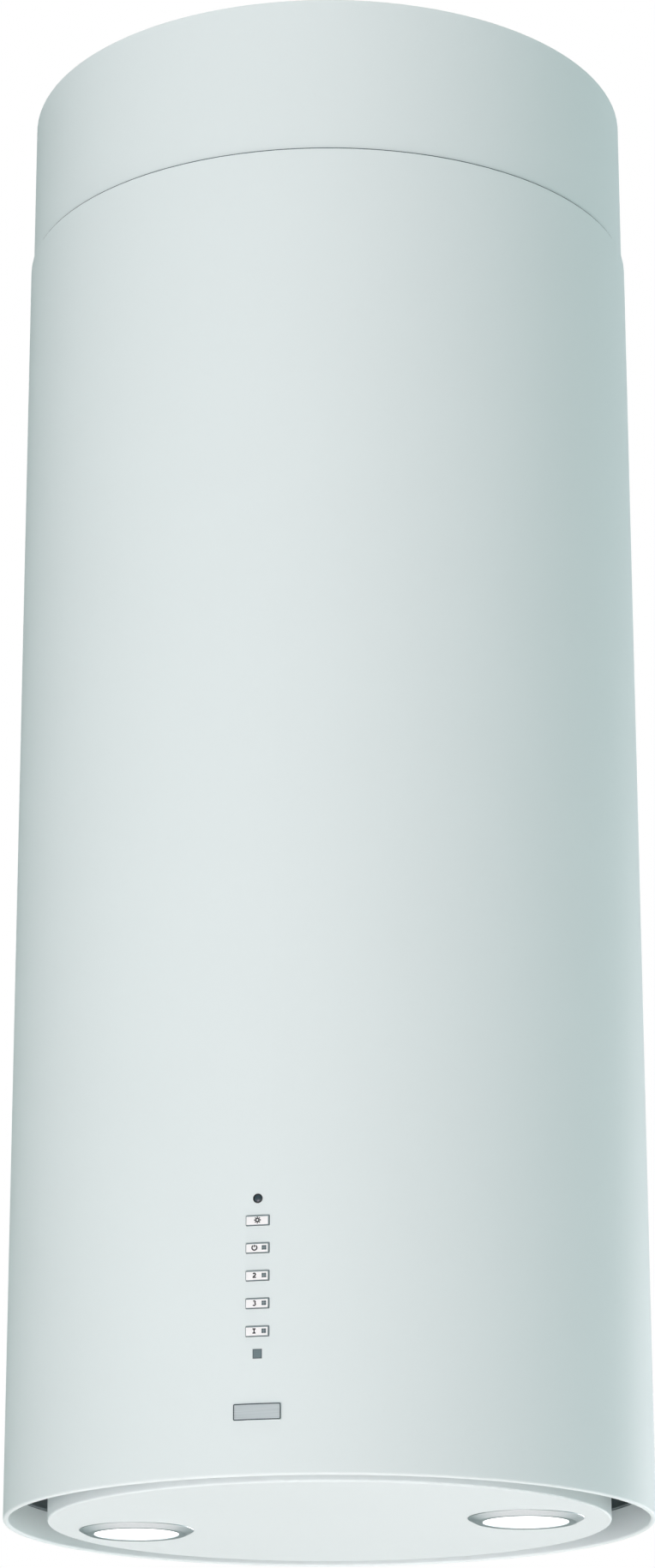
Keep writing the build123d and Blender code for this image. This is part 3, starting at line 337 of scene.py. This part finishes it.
# === Receiver for the remote control ======================================================
# A domed lens of dark infra-red acrylic in a black ring, pushed into the tube's wall from
# the front. Both are turned here with fine steps, because they are small and round.
RECEIVER_STEPS = 48
SLEEVE_BORE = 2.1
SLEEVE_RADIUS = 2.6
SLEEVE_LENGTH = 5.3
LENS_RADIUS = 2.05
# the ring is half matt, and the polished lens takes a small clear highlight
black_ring = finish("black_moulded_abs", "#141c1e", "#1b2426", 0.6, (0.35, 0.45), 0.004)
dark_acrylic = finish("dark_infrared_acrylic", "#33434a", "#3d4e55", 2.0, (0.12, 0.18), 0.002,
                      IOR=1.49)
low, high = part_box("sensor_ring")
receiver = ((low.x + high.x) / 2, 0, (low.z + high.z) / 2)
ring_front = -low.y / MM
ring_back = ring_front - SLEEVE_LENGTH
profile = [(SLEEVE_BORE, ring_back), (SLEEVE_BORE, ring_front - 0.2), (2.2, ring_front - 0.05),
           (2.35, ring_front), (2.5, ring_front - 0.05), (SLEEVE_RADIUS, ring_front - 0.2),
           (SLEEVE_RADIUS, ring_back), (SLEEVE_BORE, ring_back)]
turned("receiver_ring", profile, receiver, RECEIVER_STEPS, black_ring, "hood", "sensor_black",
       "sensor_ring", forwards=True)
lens_back = -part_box("sensor_lens")[1].y / MM
profile = [(0, lens_back), (LENS_RADIUS, lens_back), (LENS_RADIUS, ring_front - 0.5),
           (1.8, ring_front - 0.33), (1.2, ring_front - 0.22), (0.6, ring_front - 0.16),
           (0, ring_front - 0.14)]
turned("receiver_lens", profile, receiver, RECEIVER_STEPS, dark_acrylic, "hood", "sensor_black",
       "sensor_lens", forwards=True)

# === Name plate ===========================================================================
# A blank plate of brushed aluminium with a dark anodised rim, glued to the tube's face. The
# brush went along the plate, so its fine lines run from side to side.
BRUSH_LENGTH = 30.0
BRUSH_WIDTH = 0.22           # a real line is finer, and would not be seen
# the brushed lines spread each highlight up and down into a soft band
brushed, tree, shader, mm = start_material("brushed_aluminium", Metallic=0.3, Roughness=0.5)
per_line = (1 / BRUSH_LENGTH, 1 / BRUSH_LENGTH, 1 / BRUSH_WIDTH)
lines = add_node(tree, "ShaderNodeVectorMath", {0: mm, 1: per_line}, operation="MULTIPLY")
brush = add_node(tree, "ShaderNodeTexNoise", {"Vector": lines.outputs[0], "Scale": 1.0, "Detail": 3.0})
show_pattern(tree, shader, brush.outputs["Fac"], "#9aaeb1", "#d3dedf", (0.45, 0.6), 0.01)
dress(brushed, "name_plate")

RIM_WIDTH = 0.55
RIM_THICKNESS = 0.15
RIM_SUNK = 0.02              # how far the rim's back lies in the plate
RIM_CORNER = 0.6
ALONG_EDGE = (0.6, 0.2, -0.2, -0.6)    # points between the corners, so the rim can curve
# dyed nearly black, and half matt
anodised = finish("dark_anodised_aluminium", "#2c3c3f", "#3a4c50", 0.4, (0.35, 0.45), 0.002,
                  Metallic=0.3)
low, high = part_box("name_plate")
half_width = high.x / MM - RIM_WIDTH / 2
half_height = (high.z - low.z) / 2 / MM - RIM_WIDTH / 2
outline = []
for x, z, start in ((1, 1, 0), (-1, 1, 90), (-1, -1, 180), (1, -1, 270)):
    outline += arc(x * (half_width - RIM_CORNER), z * (half_height - RIM_CORNER), RIM_CORNER,
                   start, start + 90, 6)
    if x == z:
        outline += [(x * half_width * part, z * half_height) for part in ALONG_EDGE]
lines_on_tube("name_plate_rim", [(outline, True)], RIM_WIDTH, (low.z + high.z) / 2,
              -low.y / MM - RIM_SUNK, RIM_THICKNESS, anodised, "hood", "brushed_plate")

# === Lamps ================================================================================
# Two recessed halogen lamps: a pressed bezel with a satin chrome cone, a frosted glass disc
# that glows when lit, a spun aluminium housing above it, and a clear capsule bulb.
LAMP_STEPS = 128
TURNING_MM = 1.2             # the satin marks that the polishing left
FROST_MM = 0.7
# plated and satined, so the cone runs softly from light to dark round the lamp
chrome, tree, shader, mm = start_material("satin_chrome_plate", Metallic=1.0, Roughness=0.35)
marks = add_node(tree, "ShaderNodeTexNoise", {"Vector": mm, "Scale": 1 / TURNING_MM, "Detail": 3.0})
show_pattern(tree, shader, marks.outputs["Fac"], "#c1cdcf", "#cfdadb", (0.32, 0.42))
# etched glass spreads the bulb's light, so the whole disc glows evenly
frosted, tree, shader, mm = start_material("frosted_lamp_glass", Roughness=0.35, IOR=1.5)
frost = add_node(tree, "ShaderNodeTexNoise", {"Vector": mm, "Scale": 1 / FROST_MM, "Detail": 2.0})
glow = show_pattern(tree, shader, frost.outputs["Fac"], "#fbfdfd", "#ffffff", relief_mm=0.02)
tree.links.new(glow, shader.inputs["Emission Color"])
shader.inputs["Emission Strength"].default_value = 1.6

# sections of the ring and the glass: radius, and height above the panel's lower face
RING_SECTION = [(29.4, 0), (32.6, 0), (32.9, -0.15), (32.8, -0.4), (28.7, -2.5), (28.2, -2.65),
                (27.4, -2.7), (24.6, -2.6), (24.3, -2.4), (24.3, -1.4), (26.2, -1.4), (26.2, 12),
                (29.4, 12), (29.4, 0)]
GLASS_SECTION = [(0, -1.38), (18, -1.38), (24.2, -1.3), (25.9, -1.2), (26.0, -1.0), (26.0, 1.4),
                 (25.8, 1.6), (0, 1.6)]
panel_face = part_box("panel_tray")[0].z
for side in ("left", "right"):
    low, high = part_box("lamp_bezel_" + side)
    centre = ((low.x + high.x) / 2, (low.y + high.y) / 2, panel_face)
    turned("lamp_ring_" + side, RING_SECTION, centre, LAMP_STEPS, chrome, "panel", "satin_chrome",
           "lamp_bezel_" + side)
    turned("lamp_glass_" + side, GLASS_SECTION, centre, LAMP_STEPS, frosted, "panel", "lamp_glass",
           "lamp_lens_" + side)
# bare spun metal, bright and faintly marked
spun = finish("spun_aluminium", "#b3babb", "#c9cfcf", 1.5, (0.3, 0.42), 0.01, Metallic=1.0)
dress(spun, "lamp_housing_left", "lamp_housing_right")
# clear glass, drawn here as a pale shiny skin
capsule = finish("clear_bulb_glass", "#e9efef", "#f6fafa", 2.0, (0.05, 0.1), 0.002, IOR=1.47)
dress(capsule, "lamp_bulbs")

# === Suction liner ========================================================================
# A drum of zinc-coated sheet above the hinged panel, spot-welded inside the lower tube. It
# shows as a dark wedge through the suction gap, and all of it when the panel hangs open.
# dull zinc with wide, faint crystals
liner_zinc = finish("zinc_coated_liner_sheet", "#7d8b8e", "#8f9da0", 9.0, (0.45, 0.6), 0.01,
                    crystals=True, Metallic=0.6)
dress(liner_zinc, "suction_liner")

# === Grease filter ========================================================================
# Layers of expanded aluminium mesh in a pressed aluminium frame, with a spring latch at the
# front. The mesh's diamonds are 5 mm long, and grease has dulled nothing yet.
DIAMOND_MM = 5.0
DIAMOND_SLANT = 0.55         # how far a strand leans towards the side, for each step across
STRAND_EDGES = (0.35, 0.55)  # where in a wave a strand ends and the open diamond begins
# pressed aluminium with soft, even reflections
frame_metal = finish("satin_aluminium", "#b9c1c2", "#c8cfd0", 0.8, (0.32, 0.42), 0.005, Metallic=1.0)
dress(frame_metal, "filter_frame", "filter_latch")
# the strands shine, and the open diamonds between them are coloured dark as painted shade for the space
# behind the mesh
expanded, tree, shader, mm = start_material("expanded_aluminium_mesh", Metallic=1.0, Roughness=0.4)
waves = []
for slant in (DIAMOND_SLANT, -DIAMOND_SLANT):
    along = add_node(tree, "ShaderNodeVectorMath", {0: mm, 1: (1.0, slant, 0.0)},
                     operation="DOT_PRODUCT").outputs["Value"]
    phase = add_node(tree, "ShaderNodeMath", {0: along, 1: 2 * math.pi / DIAMOND_MM},
                     operation="MULTIPLY")
    wave = add_node(tree, "ShaderNodeMath", {0: phase.outputs[0]}, operation="SINE")
    wave = add_node(tree, "ShaderNodeMath", {0: wave.outputs[0]}, operation="ABSOLUTE")
    waves.append(wave.outputs[0])
strand = add_node(tree, "ShaderNodeMath", {0: waves[0], 1: waves[1]}, operation="MINIMUM")
solid = add_node(tree, "ShaderNodeMapRange", {
    "Value": strand.outputs[0], "From Min": STRAND_EDGES[0], "From Max": STRAND_EDGES[1],
    "To Min": 1.0, "To Max": 0.0})
show_pattern(tree, shader, solid.outputs["Result"], "#3b4244", "#c5cccd", (0.7, 0.35), 0.6)
dress(expanded, "filter_mesh")

# === Frame, brackets and carrier ==========================================================
# Hot-dip galvanised sheet and angle, cut and bent, with the zinc's pale crystals showing.
# The ceiling plate, the posts and the blower's carrier are left bare, because they are hidden.
CRYSTAL_MM = 8.0             # across one crystal of zinc
# each crystal takes the light a little differently
galvanised = finish("galvanised_sheet_steel", "#98a2a4", "#bcc4c5", CRYSTAL_MM, (0.35, 0.5), 0.01,
                    crystals=True, Metallic=0.9)
dress(galvanised, "ceiling_plate", "upper_posts", "lower_posts", "tube_hangers", "tube_brackets",
      "blower_carrier", "filter_keepers", "hinge_arms", "hinge_ears", "strike_plates",
      "motor_bracket", "electronics_box", "electronics_lid")

# === Screws, bolts, pins and shaft ========================================================
# Rolled and turned steel, bright zinc plated, which leaves a slightly yellow shine.
# small bright highlights with a trace of yellow
zinc_plate = finish("bright_zinc_plate", "#b7bab4", "#cfd1ca", 1.2, (0.22, 0.34), 0.004, Metallic=1.0)
dress(zinc_plate, "clamp_bolts", "hanger_screws", "deck_screws", "hinge_pins", "damper_pin",
      "motor_shaft")

# === Panel catch ==========================================================================
# Two block magnets of sintered ferrite on sheet stalks hold the panel shut. The ferrite is
# matt and nearly black, with a fine pressed grain.
ferrite = finish("sintered_ferrite", "#2b2c2e", "#3a3b3d", 0.7, (0.6, 0.75), 0.03)
dress(ferrite, "catch_magnets")

# === Blower ===============================================================================
# A double-inlet centrifugal fan: two moulded half shells of glass-filled polypropylene, a
# moulded impeller, and an enamelled motor in a steel ring on the right.
# the glass fibres leave the black moulding dull and a little uneven
polypropylene = finish("glass_filled_polypropylene", "#23282a", "#2f3537", 1.2, (0.45, 0.6), 0.02)
dress(polypropylene, "blower_shell_left", "blower_shell_right", "impeller", "outlet_spigot",
      "cable_gland", "push_switches")
# stoved enamel with a slight ripple
motor_enamel = finish("grey_motor_enamel", "#4d5558", "#5b6467", 2.5, (0.4, 0.5), 0.02)
dress(motor_enamel, "blower_motor", "transformer")

# === Damper, control housing and capacitor ================================================
# Injection-moulded grey ABS with a fine spark-eroded texture.
# the eroded mould leaves it dull, with an even fine grain
grey_abs = finish("textured_grey_abs", "#8c9395", "#9aa1a3", 0.9, (0.5, 0.62), 0.02)
dress(grey_abs, "damper_flap_front", "damper_flap_rear", "control_housing", "capacitor")

# === Circuit board ========================================================================
# Glass-epoxy board with green solder resist. Paler tracks run up and across it.
TRACK_MM = 0.25
TRACK_HEIGHT = 0.03
# the resist is glossy, and the copper under it shows paler and stands up a little
resist, tree, shader, mm = start_material("green_solder_resist", Roughness=0.35, IOR=1.55)
apart = add_node(tree, "ShaderNodeSeparateXYZ", {0: mm})
flat = add_node(tree, "ShaderNodeCombineXYZ", {0: apart.outputs["X"], 1: apart.outputs["Z"]})
tracks = add_node(tree, "ShaderNodeTexBrick", {
    "Vector": flat.outputs[0], "Scale": 1.0, "Mortar Size": TRACK_MM, "Brick Width": 7.0,
    "Row Height": 2.5, "Color1": linear("#1d5a3a"), "Color2": linear("#225f3f"),
    "Mortar": linear("#3f8a5f")})
tree.links.new(tracks.outputs["Color"], shader.inputs["Base Color"])
gloss = add_node(tree, "ShaderNodeMapRange", {"Value": tracks.outputs["Fac"], "To Min": 0.3, "To Max": 0.4})
tree.links.new(gloss.outputs["Result"], shader.inputs["Roughness"])
bump = add_node(tree, "ShaderNodeBump", {"Height": tracks.outputs["Fac"], "Distance": TRACK_HEIGHT * MM})
tree.links.new(bump.outputs["Normal"], shader.inputs["Normal"])
dress(resist, "circuit_board")

# === Studio ===============================================================================
# A pale painted floor well below the hood, a white surround, and soft light: most of it from
# the front left, some from behind on the right, and some from below, off a lit card.
CAMERA_PLACE = (0.4950, -2.3390, -1.2054)
CAMERA_AIM = (-0.19657, 0.92876, 0.31428)
CAMERA_ROLL = -0.0014
camera_data = bpy.data.cameras.new("camera")
camera_data.lens = 96.03
camera_data.sensor_width = 36.0
camera_data.shift_x = -0.00054
camera_data.shift_y = -0.01433
camera_data.clip_end = 50
camera = bpy.data.objects.new("camera", camera_data)
bpy.context.scene.collection.objects.link(camera)
turn = Vector(CAMERA_AIM).to_track_quat("-Z", "Y").to_matrix().to_4x4()
camera.matrix_world = Matrix.Translation(CAMERA_PLACE) @ turn @ Matrix.Rotation(CAMERA_ROLL, 4, "Z")
bpy.context.scene.camera = camera
bpy.context.scene.view_settings.view_transform = "Standard"

FLOOR_Z = -2.47
FLOOR_HALF = 3.0
MOTTLE_MM = 400
floor_mesh = bpy.data.meshes.new("floor")
corners = [(x * FLOOR_HALF, y * FLOOR_HALF, FLOOR_Z) for x, y in ((-1, -1), (1, -1), (1, 1), (-1, 1))]
floor_mesh.from_pydata(corners, [], [(0, 1, 2, 3)])
floor = bpy.data.objects.new("floor", floor_mesh)
bpy.context.scene.collection.objects.link(floor)
# flat paint, very slightly mottled
paint, tree, shader, mm = start_material("pale_floor_paint", Roughness=0.8)
mottle = add_node(tree, "ShaderNodeTexNoise", {"Vector": mm, "Scale": 1 / MOTTLE_MM, "Detail": 4.0})
show_pattern(tree, shader, mottle.outputs["Fac"], "#eceeee", "#f4f5f5")
floor_mesh.materials.append(paint)

# the surround's even light, and its soft lights: where each stands (azimuth from the camera,
# elevation), how tightly it is gathered, and its colour
EVEN_LIGHT = (0.084, 0.149, 0.142)
LIGHTS = (
    (-70, -5, 30, (2.48, 2.61, 2.30)),
    (-20, -15, 30, (8.0, 6.24, 6.94)),
    (20, -15, 30, (3.04, 3.05, 2.60)),
    (100, -5, 30, (0.37, 0.83, 1.14)),
    (140, -5, 30, (9.5, 8.7, 8.9)),
    (0, 80, 4, (0.55, 0.55, 0.55)),
    (0, 90, 60, (14.0, 14.0, 14.0)),
)
CAMERA_AZIMUTH = math.radians(-78.05)
world = bpy.data.worlds.new("surround")
world.use_nodes = True
tree = world.node_tree
tree.nodes.clear()
direction = add_node(tree, "ShaderNodeTexCoord").outputs["Generated"]
total = EVEN_LIGHT
for azimuth, elevation, gathered, colour in LIGHTS:
    angle = CAMERA_AZIMUTH + math.radians(azimuth)
    rise = math.radians(elevation)
    towards = (math.cos(rise) * math.cos(angle), math.cos(rise) * math.sin(angle), math.sin(rise))
    facing = add_node(tree, "ShaderNodeVectorMath", {0: direction, 1: towards}, operation="DOT_PRODUCT")
    lobe = add_node(tree, "ShaderNodeMath", {0: facing.outputs["Value"], 1: 0.0}, operation="MAXIMUM")
    lobe = add_node(tree, "ShaderNodeMath", {0: lobe.outputs[0], 1: gathered}, operation="POWER")
    part = add_node(tree, "ShaderNodeVectorMath", {0: colour, 3: lobe.outputs[0]}, operation="SCALE")
    total = add_node(tree, "ShaderNodeVectorMath", {0: total, 1: part.outputs[0]},
                     operation="ADD").outputs[0]
lit = add_node(tree, "ShaderNodeBackground", {"Color": total})
seen = add_node(tree, "ShaderNodeBackground", {"Color": (1, 1, 1, 1)})
ray = add_node(tree, "ShaderNodeLightPath")
both = add_node(tree, "ShaderNodeMixShader", {
    "Fac": ray.outputs["Is Camera Ray"], 1: lit.outputs[0], 2: seen.outputs[0]})
add_node(tree, "ShaderNodeOutputWorld", {"Surface": both.outputs[0]})
bpy.context.scene.world = world

# the lit card lies where a bright worktop would be, and the camera doesn't see it
CARD_Z = -2.1
CARD_COLOUR = (2.75, 1.93, 1.93)
card_light = bpy.data.lights.new("worktop_card", "AREA")
card_light.shape = "DISK"
card_light.size = 3.0
card_light.energy = 5.0
card_light.color = CARD_COLOUR
card = bpy.data.objects.new("worktop_card", card_light)
card.location = (0.0, 0.0, CARD_Z)
card.rotation_euler = (math.pi, 0, 0)
card.visible_camera = False
bpy.context.scene.collection.objects.link(card)
